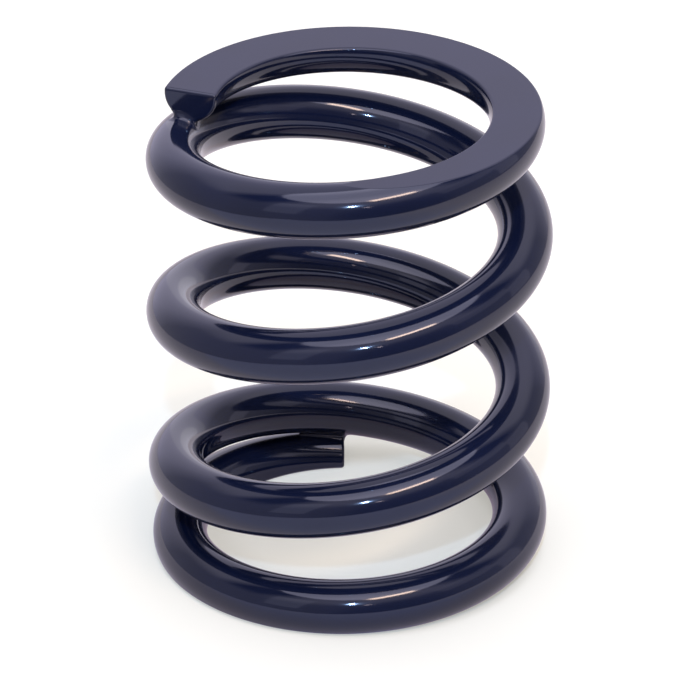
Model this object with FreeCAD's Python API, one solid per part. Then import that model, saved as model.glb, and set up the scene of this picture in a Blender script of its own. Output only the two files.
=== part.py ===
import FreeCAD, Part

import math
import os

# A coilover spring. One round steel bar is wound right-handed into open coils. Each end is
# closed, so that its tip lies against the next coil, and ground flat and square to the axis.
# The origin is the centre of the bottom seat, +Z runs up the axis, and the bottom tip is at
# the back, on the +Y side. A place along the bar is counted in turns from the bottom tip.

# Driving dimensions: the bar and the coil, in millimetres and turns
wire_diameter = 11.4
free_length = 101.6
total_turns = 4.205
open_coil_inner_diameter = 61.4
bottom_tip_direction_deg = 91.3

# Driving dimensions: the closed and ground ends
bottom_tip_inner_diameter = 59.9
top_tip_inner_diameter = 55.6
bottom_narrowing_turns = 1.25
top_narrowing_turns = 1.25
bottom_tip_thickness = 5.8
top_tip_thickness = 6.9
tip_gap = 0.12

# Driving dimensions: where the closed pitch opens up, in turns from each tip
bottom_opening_start = 0.6
bottom_opening_span = 0.68
top_opening_start = 0.27
top_opening_span = 1.0

# Driving dimension: the deburred rim round each cut end of the bar
tip_rim_radius = 0.5

# How finely the centre line is drawn, and how often the pitches are solved again
points_per_turn = 24
solving_rounds = 6

wire_radius = wire_diameter / 2
bottom_centre_height = bottom_tip_thickness - wire_radius
top_centre_height = free_length - (top_tip_thickness - wire_radius)


def ease(x):
    """A smooth step: 0 up to x = 0, 1 from x = 1."""
    x = min(max(x, 0.0), 1.0)
    return 3 * x**2 - 2 * x**3


def ease_area(x):
    """The area under the smooth step from 0 to x."""
    if x <= 0:
        return 0.0
    if x >= 1:
        return x - 0.5
    return x**3 - x**4 / 2


def mean_radius(turn):
    """The coil's mean radius, which narrows towards each tip."""
    open_radius = open_coil_inner_diameter / 2 + wire_radius
    bottom_share = ease(1 - turn / bottom_narrowing_turns)
    top_share = ease(1 - (total_turns - turn) / top_narrowing_turns)
    bottom_step = (open_coil_inner_diameter - bottom_tip_inner_diameter) / 2
    top_step = (open_coil_inner_diameter - top_tip_inner_diameter) / 2
    return open_radius - bottom_step * bottom_share - top_step * top_share


def opened(turn):
    """The turns wound since the bottom end began to open, counted at the full pitch."""
    return bottom_opening_span * ease_area((turn - bottom_opening_start) / bottom_opening_span)


def closed_again(turn):
    """The turns wound since the top end began to close, counted at the full pitch."""
    start = total_turns - top_opening_start - top_opening_span
    return top_opening_span * ease_area((turn - start) / top_opening_span)


def rise(pitches, start, end):
    """How far the bar climbs between two places, for (bottom, open, top) pitches."""
    bottom, middle, top = pitches
    through_bottom = opened(end) - opened(start)
    through_top = closed_again(end) - closed_again(start)
    climbed = bottom * (end - start) + (middle - bottom) * through_bottom
    return climbed - (middle - top) * through_top


def rise_row(start, end):
    """The shares of the three pitches in the climb between two places."""
    units = ((1, 0, 0), (0, 1, 0), (0, 0, 1))
    return [rise(unit, start, end) for unit in units]


def closing_rise(pitches, tip, beside):
    """The climb from a tip to the coil beside it that leaves tip_gap between them."""
    apart = wire_diameter + tip_gap
    sideways = mean_radius(beside) - mean_radius(tip)
    step = 0.001
    slope = rise(pitches, beside - step, beside + step) / (2 * step)
    lean = math.atan2(slope, 2 * math.pi * mean_radius(beside))
    return math.sqrt(apart**2 - sideways**2) / math.cos(lean)


def solve_pitches():
    """The pitches that close both ends and reach the free length."""
    last = total_turns
    rows = rise_row(0, 1) + [0] + rise_row(last - 1, last) + [0] + rise_row(0, last) + [0]
    shares = FreeCAD.Matrix(*rows, 0, 0, 0, 1)
    pitches = (wire_diameter, 3 * wire_diameter, wire_diameter)
    for _ in range(solving_rounds):
        bottom_rise = closing_rise(pitches, 0, 1)
        top_rise = closing_rise(pitches, last, last - 1)
        whole_rise = top_centre_height - bottom_centre_height
        solved = shares.inverse().multVec(FreeCAD.Vector(bottom_rise, top_rise, whole_rise))
        pitches = (solved.x, solved.y, solved.z)
    return pitches


def bar_centre(pitches, turn):
    """The centre of the bar at a place along it."""
    angle = math.radians(bottom_tip_direction_deg) + 2 * math.pi * turn
    radius = mean_radius(turn)
    height = bottom_centre_height + rise(pitches, 0, turn)
    return FreeCAD.Vector(radius * math.cos(angle), radius * math.sin(angle), height)


def centre_line(pitches):
    """The wound bar's centre line, as a wire with one edge for about each turn."""
    spans = round(points_per_turn * total_turns)
    points = [bar_centre(pitches, total_turns * k / spans) for k in range(spans + 1)]
    curve = Part.BSplineCurve()
    curve.interpolate(Points=points)
    edges = round(total_turns)
    joints = [curve.parameter(bar_centre(pitches, total_turns * k / edges)) for k in range(1, edges)]
    stops = [curve.FirstParameter] + joints + [curve.LastParameter]
    return Part.Wire([curve.toShape(a, b) for a, b in zip(stops, stops[1:])])


def wind_bar(path):
    """The round bar swept along its centre line, before grinding."""
    first = path.Edges[0]
    start = first.valueAt(first.FirstParameter)
    direction = first.tangentAt(first.FirstParameter)
    section = Part.Wire([Part.makeCircle(wire_radius, start, direction)])
    sweep = Part.BRepOffsetAPI.MakePipeShell(path)
    sweep.setFrenetMode(True)
    sweep.add(section)
    sweep.build()
    sweep.makeSolid()
    return sweep.shape()


def grind_ends(bar):
    """Grinds both ends flat: what lies between the two seat planes is kept."""
    reach = open_coil_inner_diameter + 4 * wire_diameter
    corner = FreeCAD.Vector(-reach / 2, -reach / 2, 0)
    return bar.common(Part.makeBox(reach, reach, free_length, corner))


def round_rims(spring):
    """Breaks the sharp rim round both cut faces, which are the flat faces that stand upright."""
    rims = []
    for face in spring.Faces:
        if isinstance(face.Surface, Part.Plane) and abs(face.normalAt(0, 0).z) < 0.5:
            rims += face.Edges
    return spring.makeFillet(tip_rim_radius, rims)


def main():
    pitches = solve_pitches()
    ground = grind_ends(wind_bar(centre_line(pitches)))
    spring = round_rims(ground.Solids[0])
    print("pitches, bottom, open and top: %.2f %.2f %.2f" % pitches)
    os.makedirs("parts", exist_ok=True)
    spring.exportStep("parts/coil_spring.step")


main()
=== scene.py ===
import math
from itertools import product

import bpy
import numpy as np
from mathutils import Matrix, Vector


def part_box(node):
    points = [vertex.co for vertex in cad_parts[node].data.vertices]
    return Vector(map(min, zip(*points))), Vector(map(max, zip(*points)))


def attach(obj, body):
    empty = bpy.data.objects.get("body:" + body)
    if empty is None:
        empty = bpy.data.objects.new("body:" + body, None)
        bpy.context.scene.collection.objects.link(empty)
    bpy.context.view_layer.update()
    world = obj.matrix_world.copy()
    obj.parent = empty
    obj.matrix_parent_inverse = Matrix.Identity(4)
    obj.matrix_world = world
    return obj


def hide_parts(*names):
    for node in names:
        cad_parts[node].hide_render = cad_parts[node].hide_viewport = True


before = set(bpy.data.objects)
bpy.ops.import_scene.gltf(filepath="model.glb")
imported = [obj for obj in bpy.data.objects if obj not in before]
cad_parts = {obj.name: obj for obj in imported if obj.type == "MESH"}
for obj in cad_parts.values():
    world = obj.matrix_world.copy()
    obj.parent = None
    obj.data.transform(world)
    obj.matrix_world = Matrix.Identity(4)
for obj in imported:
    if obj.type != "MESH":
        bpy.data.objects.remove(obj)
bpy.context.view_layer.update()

node_low, node_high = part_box("coil_spring")

# The spring's driving dimensions, in metres and turns from the bottom tip
wire_diameter = 0.0114
free_length = node_high[2] - node_low[2]
total_turns = 4.209
open_coil_inner_diameter = 0.06138
bottom_tip_direction_deg = 92.0
bottom_tip_inner_diameter = 0.0599
top_tip_inner_diameter = 0.0556
bottom_narrowing_turns = 1.25
top_narrowing_turns = 1.25
bottom_tip_thickness = 0.0058
top_tip_thickness = 0.0069
bottom_pitch = 0.00895
open_pitch = 0.03581
bottom_opening_start = 0.6
bottom_opening_span = 0.68
top_opening_start = 0.27
top_opening_span = 1.0

# The closed bottom end lies a little high on its way from the tip, close under the next coil
bottom_rise_height = 0.0005
bottom_rise_turns = 0.32

wire_radius = wire_diameter / 2
bottom_centre_height = bottom_tip_thickness - wire_radius
top_centre_height = free_length - (top_tip_thickness - wire_radius)
spring_middle = (Vector(node_low) + Vector(node_high)) / 2

# The coat rounds every edge of the ground bar
edge_rounding = 0.0007
rim_rounding = 0.0007

# The top end is cut a little askew, over a short stretch of the bar
top_cut_slant_deg = 6
slant_stretch = 0.008

# The coat also fills the corner between each tip and the coil that it touches. The fill is made
# in a box of grid cells around their contact. It thins out over its size, is cut off at a share
# of that, and reaches a little way into both.
fill_size = 0.0023
fill_cut_off = 0.92
fill_depth = 0.00025
fill_grid = 0.00016
fill_reach_back = 0.0095
fill_reach_ahead = 0.0030
fill_half_width = 0.0046
fill_half_height = 0.0030
fill_slope_step = 0.00001

# How much of the bar near a contact is searched for its nearest point, in turns, and how far past
# a tip the uncut bar goes on
near_turns = 0.07
turns_past_tip = 0.02
searched_per_turn = 2200

# How finely the bar's skin is meshed. Each ring faces the seat that it may be cut by, so the
# rings turn over from the bottom seat to the top one along this share of the bar.
ring_spacing = 0.0012
turning_start = 0.375
turning_span = 0.25
bar_steps = 48
corner_steps = 4
flat_steps = 6
rim_steps = 4
thinnest_flat_deg = 86
ring_size = bar_steps + 2 * corner_steps + flat_steps

# Painted light on the floor, as how much brighter it looks than its light makes it, where white is
# 1: first a painted glow to the camera, in front of the spring and behind it, and then a painted
#    reflection that only the coat's mirror sees, in front of the spring, behind it and to its
#    right
painted_front_glow = (0.35, 0.342, 0.31, 1)
painted_back_glow = (0.44, 0.432, 0.40, 1)
painted_front_reflection = (0.15, 0.18, 0.56, 1)
painted_back_reflection = (0.22, 0.15, 0.25, 1)
painted_right_reflection = (0.49, 0.40, 0.52, 1)

# The colours of the room and of the backdrop: white to the camera, a little cool in the coat
room_tint = (1.02, 0.97, 1.17)
mirrored_backdrop = (0.98, 0.93, 1.22, 1)
white = (1, 1, 1, 1)

UP = Vector((0, 0, 1))


def ease(x):
    """A smooth step: 0 up to x = 0, 1 from x = 1."""
    x = min(max(x, 0.0), 1.0)
    return 3 * x**2 - 2 * x**3


def ease_area(x):
    """The area under the smooth step from 0 to x."""
    if x <= 0:
        return 0.0
    if x >= 1:
        return x - 0.5
    return x**3 - x**4 / 2


def mean_radius(turn):
    """The coil's mean radius, which narrows towards each tip."""
    open_radius = open_coil_inner_diameter / 2 + wire_radius
    bottom_share = ease(1 - turn / bottom_narrowing_turns)
    top_share = ease(1 - (total_turns - turn) / top_narrowing_turns)
    bottom_step = (open_coil_inner_diameter - bottom_tip_inner_diameter) / 2
    top_step = (open_coil_inner_diameter - top_tip_inner_diameter) / 2
    return open_radius - bottom_step * bottom_share - top_step * top_share


def climb(turn, top_pitch):
    """The height wound from the bottom tip to a place along the bar."""
    closing_start = total_turns - top_opening_start - top_opening_span
    opened = bottom_opening_span * ease_area((turn - bottom_opening_start) / bottom_opening_span)
    closed = top_opening_span * ease_area((turn - closing_start) / top_opening_span)
    wound = bottom_pitch * turn + (open_pitch - bottom_pitch) * opened
    wound -= (open_pitch - top_pitch) * closed
    if turn < bottom_rise_turns:
        wound += bottom_rise_height * math.sin(math.pi * turn / bottom_rise_turns)**2
    return wound


def closing_pitch():
    """The top pitch that brings the bar to its full height."""
    whole = top_centre_height - bottom_centre_height
    with_none = climb(total_turns, 0)
    per_unit = climb(total_turns, 1) - with_none
    return (whole - with_none) / per_unit


top_pitch = closing_pitch()


def bar_centre(turn):
    """The centre of the bar at a place along it."""
    angle = math.radians(bottom_tip_direction_deg) + 2 * math.pi * turn
    radius = mean_radius(turn)
    height = bottom_centre_height + climb(turn, top_pitch)
    return Vector((radius * math.cos(angle), radius * math.sin(angle), height))


def bar_axes(turn):
    """Along the bar, outwards and level, and across both."""
    step = 0.001
    along = (bar_centre(turn + step) - bar_centre(turn - step)).normalized()
    outward = along.cross(UP).normalized()
    return along, outward, outward.cross(along)


def cut_slant(turn):
    """How far a ring leans along the bar, per metre outwards, near the top cut."""
    to_tip = (total_turns - turn) * 2 * math.pi * mean_radius(turn)
    return -math.tan(math.radians(top_cut_slant_deg)) * ease(1 - to_tip / slant_stretch)


def ring(turn):
    """One ring of the ground bar's skin, as points and their outward directions."""
    centre = bar_centre(turn)
    along, outward, across = bar_axes(turn)
    near_top = ease((turn / total_turns - turning_start) / turning_span)
    spin = math.pi * (1 - near_top)
    side = outward * math.cos(spin) + across * math.sin(spin)
    top = across * math.cos(spin) - outward * math.sin(spin)
    to_seat = free_length - centre.z if near_top == 1 else centre.z
    seat_normal = UP if near_top == 1 else -UP
    cut = to_seat / across.z if near_top in (0, 1) else wire_radius

    steepest = math.radians(thinnest_flat_deg)
    corner_reach = wire_radius - edge_rounding
    corner_height = cut - edge_rounding
    is_cut = corner_height < corner_reach * math.sin(steepest)
    corner = math.asin(corner_height / corner_reach) if is_cut else steepest

    points, normals = [], []
    slant = cut_slant(turn)

    def add(x, y, direction, seat_share=0.0):
        point = centre + side * x + top * y
        points.append(point + along * slant * (point - centre).dot(outward))
        normal = side * math.cos(direction) + top * math.sin(direction)
        normals.append(normal.lerp(seat_normal, seat_share).normalized())

    def add_on_bar(direction):
        add(wire_radius * math.cos(direction), wire_radius * math.sin(direction), direction)

    for k in range(bar_steps + 1):
        add_on_bar(math.pi - corner + (math.pi + 2 * corner) * k / bar_steps)
    if not is_cut:
        rest = ring_size - bar_steps
        for k in range(1, rest):
            add_on_bar(corner + (math.pi - 2 * corner) * k / rest)
        return points, normals
    corner_x = corner_reach * math.cos(corner)
    for k in range(1, corner_steps + 1):
        share = k / corner_steps
        direction = corner + (math.pi / 2 - corner) * share
        x = corner_x + edge_rounding * math.cos(direction)
        add(x, corner_height + edge_rounding * math.sin(direction), direction, share)
    for k in range(1, flat_steps):
        add(corner_x * (1 - 2 * k / flat_steps), cut, math.pi / 2, 1.0)
    for k in range(corner_steps, 0, -1):
        share = k / corner_steps
        direction = math.pi - corner - (math.pi / 2 - corner) * share
        x = -corner_x + edge_rounding * math.cos(direction)
        add(x, corner_height + edge_rounding * math.sin(direction), direction, share)
    return points, normals


def rim_rings(turn, outward_sign):
    """The rings that round a cut face's rim, from the bar's skin to the face."""
    length_per_turn = 2 * math.pi * mean_radius(turn)
    points, normals = ring(turn - outward_sign * rim_rounding / length_per_turn)
    along = bar_axes(turn)[0] * outward_sign
    rings = []
    for k in range(rim_steps + 1):
        angle = math.pi / 2 * k / rim_steps
        inset = rim_rounding * (1 - math.cos(angle))
        ahead = rim_rounding * math.sin(angle)
        moved = [p - n * inset + along * ahead for p, n in zip(points, normals)]
        turned = [n * math.cos(angle) + along * math.sin(angle) for n in normals]
        rings.append((moved, turned))
    return rings


def between_seats(point):
    """The point, held between the two seat planes."""
    return Vector((point.x, point.y, min(max(point.z, 0), free_length)))


def skin_mesh():
    """The coated bar's whole skin, closed at both tips."""
    length_per_turn = 2 * math.pi * mean_radius(total_turns / 2)
    count = round(total_turns * length_per_turn / ring_spacing)
    rings = list(reversed(rim_rings(0, -1)))
    rings += [ring(total_turns * k / count) for k in range(1, count)]
    rings += rim_rings(total_turns, 1)
    points = [between_seats(point) for r in rings for point in r[0]]
    normals = [normal for r in rings for normal in r[1]]
    faces = []
    for i in range(len(rings) - 1):
        for k in range(ring_size):
            a = i * ring_size + k
            b = i * ring_size + (k + 1) % ring_size
            faces.append((a, a + ring_size, b + ring_size, b))
    faces.append(tuple(range(ring_size)))
    last = (len(rings) - 1) * ring_size
    faces.append(tuple(range(last + ring_size - 1, last - 1, -1)))
    return points, normals, faces


def tube_distance(places, start, end):
    """How far places lie outside the round bar between two turns."""
    turns = np.linspace(start, end, 1 + round(abs(end - start) * searched_per_turn))
    nearest = np.full(len(places), np.inf)
    for turn in turns:
        apart = places - np.array(bar_centre(turn))
        nearest = np.minimum(nearest, np.sqrt((apart**2).sum(axis=1)))
    return nearest - wire_radius


def tip_and_neighbour(places, tip, sign):
    """How far places lie outside a cut tip, and outside the coil beside it."""
    beside = tip - sign
    along, outward, _ = bar_axes(tip)
    slant = cut_slant(tip)
    ahead = np.array((along - outward * slant).normalized() * sign)
    past_cut = (places - np.array(bar_centre(tip))) @ ahead
    to_bar = tube_distance(places, tip - sign * near_turns, tip + sign * turns_past_tip)
    over = np.maximum(np.stack([to_bar, past_cut]) + rim_rounding, 0)
    under = np.minimum(np.maximum(to_bar, past_cut) + rim_rounding, 0)
    to_tip = np.sqrt((over**2).sum(axis=0)) + under - rim_rounding
    return to_tip, tube_distance(places, beside - near_turns, beside + near_turns)


def filled(to_tip, to_coil):
    """How far places lie outside the coat that fills the corner between the two."""
    shared = np.maximum(fill_size - np.abs(to_tip - to_coil), 0)
    return np.minimum(to_tip, to_coil) - shared**2 / (4 * fill_size)


def wrap(values, place_of):
    """The surface where a grid of values crosses zero, as points and faces."""
    inside = values < 0
    offsets = list(product((0, 1), repeat=3))
    counts = np.zeros([size - 1 for size in inside.shape], dtype=int)
    for a, b, c in offsets:
        counts += inside[a:a - 1 or None, b:b - 1 or None, c:c - 1 or None]
    cells = [tuple(cell) for cell in np.argwhere((counts > 0) & (counts < len(offsets)))]
    index = {cell: i for i, cell in enumerate(cells)}
    edges = [(a, b) for a in offsets for b in offsets if a < b and sum(a) + 1 == sum(b)]
    edges = [(a, b) for a, b in edges if sum(abs(i - j) for i, j in zip(a, b)) == 1]
    points = []
    for cell in cells:
        crossings = []
        for a, b in edges:
            first = tuple(i + j for i, j in zip(cell, a))
            second = tuple(i + j for i, j in zip(cell, b))
            if inside[first] != inside[second]:
                share = values[first] / (values[first] - values[second])
                crossings.append([i + (j - i) * share for i, j in zip(first, second)])
        points.append(place_of(np.mean(crossings, axis=0)))
    faces = []
    for axis in range(3):
        next_axis = (axis + 1) % 3
        last_axis = (axis + 2) % 3
        step, one, two = np.eye(3, dtype=int)[[axis, next_axis, last_axis]]
        for cell in cells:
            far = tuple(np.array(cell) + step)
            if inside[cell] == inside[far] or min(cell[next_axis], cell[last_axis]) < 1:
                continue
            around = [np.array(cell), cell - one, cell - one - two, cell - two]
            face = [index[tuple(corner)] for corner in around]
            faces.append(face if inside[far] else face[::-1])
    return points, faces


def filled_corner(tip, sign):
    """The coat between a tip and the coil it touches, closed inside the two bars."""
    contact = (bar_centre(tip) + bar_centre(tip - sign)) / 2
    along, outward, _ = bar_axes(tip)
    axes = np.array([(along - UP * along.z).normalized() * sign, outward, UP])
    low = np.array([-fill_reach_back, -fill_half_width, -fill_half_height])
    high = np.array([fill_reach_ahead, fill_half_width, fill_half_height])
    counts = np.ceil((high - low) / fill_grid).astype(int)

    def place_of(cell):
        return np.array(contact) + (low + np.array(cell) * fill_grid) @ axes

    cells = np.stack(np.meshgrid(*[np.arange(n) for n in counts], indexing="ij"), axis=-1)
    places = place_of(cells.reshape(-1, 3))
    to_tip, to_coil = tip_and_neighbour(places, tip, sign)
    skin = filled(to_tip, to_coil)
    too_deep = -(np.minimum(to_tip, to_coil) + fill_depth)
    too_far = np.abs(to_tip - to_coil) - fill_cut_off * fill_size
    values = np.max([skin, too_deep, too_far], axis=0).reshape(counts)
    points, faces = wrap(values, place_of)
    if sign < 0:
        faces = [face[::-1] for face in faces]

    def outside(places):
        return filled(*tip_and_neighbour(places, tip, sign))

    points = np.array(points)
    for _ in range(2):
        here = outside(points)
        rises = [outside(points + axis * fill_slope_step) - here for axis in np.eye(3)]
        normals = np.stack(rises, axis=1)
        normals /= np.linalg.norm(normals, axis=1, keepdims=True)
        on_skin = np.abs(here) < fill_grid / 2
        points[on_skin] -= (normals * here[:, None])[on_skin]
    return points, normals, faces


def make_piece(name, points, normals, faces, material):
    """A smooth-shaded piece that rides on the spring's one body."""
    mesh = bpy.data.meshes.new(name)
    mesh.from_pydata([tuple(p) for p in points], [], faces)
    mesh.shade_smooth()
    mesh.normals_split_custom_set_from_vertices([tuple(n) for n in normals])
    mesh.materials.append(material)
    piece = bpy.data.objects.new(name, mesh)
    bpy.context.scene.collection.objects.link(piece)
    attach(piece, "root")
    return piece


def coat_material():
    """Dark navy enamel: deep gloss with a trace of orange peel, haze and dust nibs."""
    material = bpy.data.materials.new("navy_enamel")
    material.use_nodes = True
    nodes = material.node_tree.nodes
    links = material.node_tree.links
    shader = nodes["Principled BSDF"]
    shader.inputs["IOR"].default_value = 1.5
    place = nodes.new("ShaderNodeTexCoord")

    def noise(scale, detail):
        texture = nodes.new("ShaderNodeTexNoise")
        texture.inputs["Scale"].default_value = scale
        texture.inputs["Detail"].default_value = detail
        links.new(place.outputs["Object"], texture.inputs["Vector"])
        return texture.outputs["Fac"]

    def remap(source, from_low, from_high, to_low, to_high):
        spread = nodes.new("ShaderNodeMapRange")
        spread.inputs["From Min"].default_value = from_low
        spread.inputs["From Max"].default_value = from_high
        spread.inputs["To Min"].default_value = to_low
        spread.inputs["To Max"].default_value = to_high
        links.new(source, spread.inputs["Value"])
        return spread.outputs["Result"]

    colours = nodes.new("ShaderNodeValToRGB")
    colours.color_ramp.elements[0].position = 0.35
    colours.color_ramp.elements[0].color = (0.0044, 0.0072, 0.0215, 1)
    colours.color_ramp.elements[1].position = 0.65
    colours.color_ramp.elements[1].color = (0.0054, 0.0086, 0.0255, 1)
    links.new(noise(scale=60, detail=2), colours.inputs["Fac"])
    links.new(colours.outputs["Color"], shader.inputs["Base Color"])

    haze = remap(noise(scale=35, detail=4), 0.4, 0.7, 0.07, 0.12)
    links.new(haze, shader.inputs["Roughness"])

    cells = nodes.new("ShaderNodeTexVoronoi")
    cells.inputs["Scale"].default_value = 110
    links.new(place.outputs["Object"], cells.inputs["Vector"])
    nibs = remap(cells.outputs["Distance"], 0.0, 0.022, 1.0, 0.0)

    peel = nodes.new("ShaderNodeBump")
    peel.inputs["Distance"].default_value = 0.0000016
    links.new(noise(scale=400, detail=1), peel.inputs["Height"])
    specks = nodes.new("ShaderNodeBump")
    specks.inputs["Distance"].default_value = 0.000012
    links.new(nibs, specks.inputs["Height"])
    links.new(peel.outputs["Normal"], specks.inputs["Normal"])
    links.new(specks.outputs["Normal"], shader.inputs["Normal"])
    return material


def gradient(nodes, links, source, start, end, easing="LINEAR"):
    """0 where the source is at its start, rising to 1 at its end."""
    spread = nodes.new("ShaderNodeMapRange")
    spread.interpolation_type = easing
    spread.inputs["From Min"].default_value = start
    spread.inputs["From Max"].default_value = end
    links.new(source, spread.inputs["Value"])
    return spread.outputs["Result"]


def mixed(nodes, links, factor, first, second):
    """The first colour where the factor is 0, and the second where it is 1."""
    mix = nodes.new("ShaderNodeMix")
    mix.data_type = "RGBA"
    links.new(factor, mix.inputs["Factor"])
    for name, colour in (("A", first), ("B", second)):
        if isinstance(colour, tuple):
            mix.inputs[name].default_value = colour
        else:
            links.new(colour, mix.inputs[name])
    return mix.outputs["Result"]


def floor_material():
    """Pale matt paper with a painted glow that the camera sees as white, brighter behind the
    spring, with the spring's shadow kept, and a painted reflection in the coat's mirror.
    """
    material = bpy.data.materials.new("pale_paper")
    material.use_nodes = True
    nodes = material.node_tree.nodes
    links = material.node_tree.links
    shader = nodes["Principled BSDF"]
    shader.inputs["Base Color"].default_value = (0.60, 0.605, 0.49, 1)
    shader.inputs["Roughness"].default_value = 0.9
    shader.inputs["Specular IOR Level"].default_value = 0.1

    place = nodes.new("ShaderNodeTexCoord")
    parts = nodes.new("ShaderNodeSeparateXYZ")
    links.new(place.outputs["Object"], parts.inputs["Vector"])
    backwards = parts.outputs["Y"]
    rightwards = parts.outputs["X"]
    # Painted light: the floor's glow grows brighter towards the back, and its painted reflection
    # is cool in front and brighter to the right
    to_back = gradient(nodes, links, backwards, -0.05, 0.10)
    past_front = gradient(nodes, links, backwards, -0.055, -0.035)
    to_right = gradient(nodes, links, rightwards, 0.06, 0.20)
    seen = mixed(nodes, links, to_back, painted_front_glow, painted_back_glow)
    mirrored = mixed(nodes, links, past_front, painted_front_reflection, painted_back_reflection)
    mirrored = mixed(nodes, links, to_right, mirrored, painted_right_reflection)

    # The camera sees the painted glow, and mirror rays see the painted reflection
    ray = nodes.new("ShaderNodeLightPath")
    lift = mixed(nodes, links, ray.outputs["Is Camera Ray"], mirrored, seen)
    links.new(lift, shader.inputs["Emission Color"])
    links.new(seen_ray(nodes, links), shader.inputs["Emission Strength"])
    return material


def seen_ray(nodes, links):
    """1 for rays of the camera, of mirror reflections and through clear things."""
    ray = nodes.new("ShaderNodeLightPath")
    mirrored = nodes.new("ShaderNodeMath")
    mirrored.operation = "MAXIMUM"
    links.new(ray.outputs["Is Camera Ray"], mirrored.inputs[0])
    links.new(ray.outputs["Is Glossy Ray"], mirrored.inputs[1])
    through = nodes.new("ShaderNodeMath")
    through.operation = "MAXIMUM"
    links.new(mirrored.outputs["Value"], through.inputs[0])
    links.new(ray.outputs["Is Transmission Ray"], through.inputs[1])
    return through.outputs["Value"]


def add_floor():
    """A pale sheet under the spring, which ends a little in front and on the left."""
    left, right, front, back = -0.27, 1.2, -0.40, 2.5
    mesh = bpy.data.meshes.new("floor")
    corners = [(left, front, 0), (right, front, 0), (right, back, 0), (left, back, 0)]
    mesh.from_pydata(corners, [], [(0, 1, 2, 3)])
    mesh.materials.append(floor_material())
    floor = bpy.data.objects.new("floor", mesh)
    bpy.context.scene.collection.objects.link(floor)


def towards(azimuth_deg, elevation_deg):
    """A direction from the spring: azimuth 0 is behind it and 90 to its right."""
    azimuth = math.radians(azimuth_deg)
    elevation = math.radians(elevation_deg)
    level = math.cos(elevation)
    return Vector((math.sin(azimuth) * level, math.cos(azimuth) * level, math.sin(elevation)))


def add_overhead():
    """A large round softbox that hangs level above the spring, a little to the front."""
    width, depth = 1.10, 1.06
    radiance = 2.35
    area = width * depth * math.pi / 4
    light = bpy.data.lights.new("overhead", "AREA")
    light.shape = "ELLIPSE"
    light.size = width
    light.size_y = depth
    light.energy = radiance * math.pi * area
    light.color = (1.0, 0.98, 1.28)
    lamp = bpy.data.objects.new("overhead", light)
    lamp.location = spring_middle + Vector((0.05, -0.20, 1.0))
    lamp.visible_camera = False
    bpy.context.scene.collection.objects.link(lamp)


def add_lamp(name, azimuth, elevation, distance, size, radiance, colour, roll=0, shape="ELLIPSE"):
    """A lamp that faces the spring: its place and size are in degrees, and radiance 1 is white."""
    direction = towards(azimuth, elevation)
    width, height = size
    across = 2 * distance * math.tan(math.radians(width / 2))
    tall = 2 * distance * math.tan(math.radians(height / 2))
    fullness = math.pi / 4 if shape == "ELLIPSE" else 1
    light = bpy.data.lights.new(name, "AREA")
    light.shape = shape
    light.size = across
    light.size_y = tall
    light.energy = radiance * math.pi * across * tall * fullness
    light.color = colour
    lamp = bpy.data.objects.new(name, light)
    lamp.location = spring_middle + direction * distance
    turned = Matrix.Rotation(math.radians(roll), 3, direction)
    lamp.rotation_euler = (turned @ direction.to_track_quat("Z", "Y").to_matrix()).to_euler()
    lamp.visible_camera = False
    bpy.context.scene.collection.objects.link(lamp)


def add_lamps():
    """The lamps that the coat mirrors: two highlights, a warm strip, and soft panels and glows."""
    add_lamp("key", 181.5, 39, 3.0, (1.9, 1.9), 1350, (0.45, 0.70, 1.22))
    add_lamp("small_warm", 171.5, 32, 3.0, (2.2, 2.2), 16, (1.0, 0.82, 0.86))
    add_lamp("wide_glow", 14, 3, 2.0, (52, 30), 0.18, (1.0, 1.0, 0.85))
    add_lamp("near_glow", 14, 3, 1.9, (28, 16), 0.25, (1.0, 1.0, 0.85))
    panel = "RECTANGLE"
    add_lamp("warm_strip", 152, 57.5, 2.5, (21, 5.5), 22, (1.0, 0.72, 0.54), roll=12, shape=panel)
    add_lamp("right_panel", 80, 15, 2.0, (17, 30), 0.32, (1.0, 0.95, 1.2), shape=panel)
    add_lamp("far_right_panel", 108, 32, 2.0, (34, 18), 0.28, (1.0, 0.96, 1.22), shape=panel)
    add_lamp("left_panel", 220, 30, 2.0, (20, 36), 0.35, (0.95, 0.98, 1.35), shape=panel)


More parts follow.
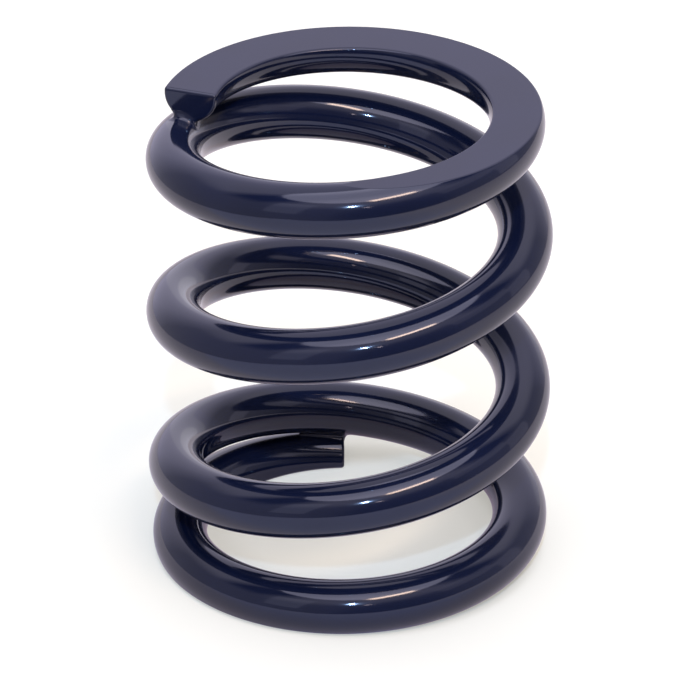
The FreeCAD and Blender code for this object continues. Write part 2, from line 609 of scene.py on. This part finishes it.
def add_world():
    """A white backdrop behind the spring, and a dimmer room where the camera stands."""
    world = bpy.data.worlds.new("studio")
    bpy.context.scene.world = world
    world.use_nodes = True
    nodes = world.node_tree.nodes
    links = world.node_tree.links
    room = nodes["Background"]
    output = nodes["World Output"]
    place = nodes.new("ShaderNodeTexCoord")

    def along(direction):
        """How far a direction points along another one, from 0 for against to 1 for with."""
        turned = nodes.new("ShaderNodeVectorMath")
        turned.operation = "DOT_PRODUCT"
        turned.inputs[1].default_value = direction
        links.new(place.outputs["Generated"], turned.inputs[0])
        return gradient(nodes, links, turned.outputs["Value"], -1, 1)

    def ramp(source, stops):
        """Brightness by direction: stops are (-1 for against to 1 for with, brightness)."""
        colours = nodes.new("ShaderNodeValToRGB")
        elements = colours.color_ramp.elements
        while len(elements) < len(stops):
            elements.new(0.5)
        for element, (at, brightness) in zip(elements, stops):
            element.position = (at + 1) / 2
            element.color = (*[brightness * tint for tint in room_tint], 1)
        links.new(source, colours.inputs["Fac"])
        return colours.outputs["Color"]

    dim_corner = towards(155, 0)
    wall_stops = [(-1, 0.10), (-0.9, 0.14), (-0.78, 0.28), (-0.5, 0.38), (0.5, 0.45), (0.8, 0.5)]
    walls = ramp(along(-dim_corner), wall_stops)
    dark_gap = towards(351.5, 0)
    ceiling_stops = [(-0.66, 0.85), (-0.42, 0.85), (-0.2, 0.07), (0.06, 0.05), (0.26, 1.02)]
    ceiling = ramp(along(dark_gap), ceiling_stops)
    rising = gradient(nodes, links, along(UP), 0.75, 0.87, "SMOOTHSTEP")
    links.new(mixed(nodes, links, rising, walls, ceiling), room.inputs["Color"])

    backdrop = nodes.new("ShaderNodeBackground")
    backdrop.inputs["Strength"].default_value = 1
    ray = nodes.new("ShaderNodeLightPath")
    tint = mixed(nodes, links, ray.outputs["Is Camera Ray"], mirrored_backdrop, white)
    links.new(tint, backdrop.inputs["Color"])
    behind = gradient(nodes, links, along(towards(-4, 8)), 0.81, 0.95)
    ahead = nodes.new("ShaderNodeMath")
    ahead.operation = "MAXIMUM"
    links.new(ray.outputs["Is Camera Ray"], ahead.inputs[0])
    links.new(behind, ahead.inputs[1])
    shown = nodes.new("ShaderNodeMath")
    shown.operation = "MULTIPLY"
    links.new(ahead.outputs["Value"], shown.inputs[0])
    links.new(seen_ray(nodes, links), shown.inputs[1])
    mix = nodes.new("ShaderNodeMixShader")
    links.new(shown.outputs["Value"], mix.inputs["Fac"])
    links.new(room.outputs["Background"], mix.inputs[1])
    links.new(backdrop.outputs["Background"], mix.inputs[2])
    links.new(mix.outputs["Shader"], output.inputs["Surface"])


def add_camera():
    """The camera at the photograph's place, above and in front of the spring."""
    elevation = math.radians(28.16)
    distance = 1.2198
    below_aim = 0.00232
    aim = Vector((-0.00153, 0, 0.05))
    back = Vector((0, -math.cos(elevation), math.sin(elevation)))
    upward = Vector((0, math.sin(elevation), math.cos(elevation)))
    camera_data = bpy.data.cameras.new("camera")
    camera_data.sensor_width = 36
    camera_data.lens = 308.9
    camera = bpy.data.objects.new("camera", camera_data)
    camera.location = aim + back * distance - upward * below_aim
    camera.rotation_euler = back.to_track_quat("Z", "Y").to_euler()
    bpy.context.scene.collection.objects.link(camera)
    bpy.context.scene.camera = camera


coat = coat_material()
bar = make_piece("coated_bar", *skin_mesh(), coat)
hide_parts("coil_spring")
make_piece("top_corner_fill", *filled_corner(total_turns, 1), coat)
make_piece("bottom_corner_fill", *filled_corner(0, -1), coat)

add_floor()
add_world()
add_overhead()
add_lamps()
add_camera()

scene = bpy.context.scene
scene.view_settings.view_transform = "Standard"
